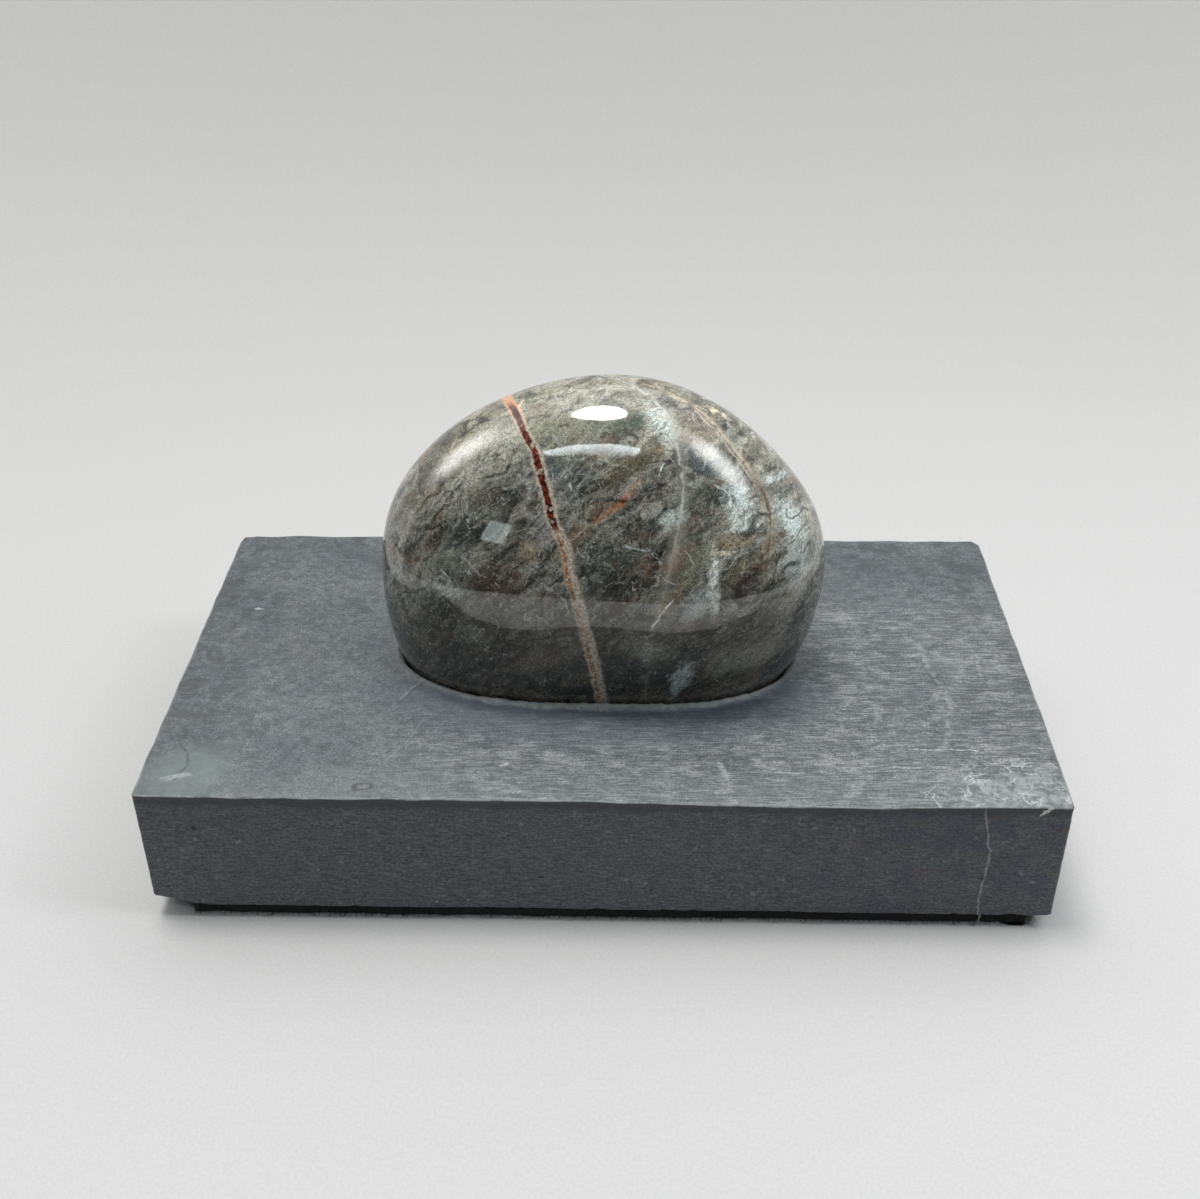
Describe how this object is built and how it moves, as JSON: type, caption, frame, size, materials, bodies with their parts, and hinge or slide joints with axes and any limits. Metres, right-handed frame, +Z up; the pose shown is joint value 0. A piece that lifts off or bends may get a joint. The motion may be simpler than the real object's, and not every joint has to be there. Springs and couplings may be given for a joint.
{
  "type": "scholars rock on slate stand",
  "caption": "Polished veined pebble seated in a shallow pocket cut in a thick rectangular slate slab, with a felt pad glued under the slab.",
  "frame": {"origin": "centre of the whole object's footprint, on the plane of the felt pad's underside", "axes": "+Z up, +X along the slab's long side to the viewer's right, -Y towards the side that the stone is viewed from"},
  "size_m": [0.187, 0.102, 0.0989],
  "materials": {
    "polished_stone": "high polish, grey-green and brown stone with pale veins and one rust-red vein",
    "dark_slate": "honed and hand-scraped blue-grey slate with pale dust",
    "black_felt": "matt black felt"
  },
  "bodies": {
    "root": {"stone": "polished_stone", "slate_base": "dark_slate", "felt_pad": "black_felt"}
  },
  "joints": []
}
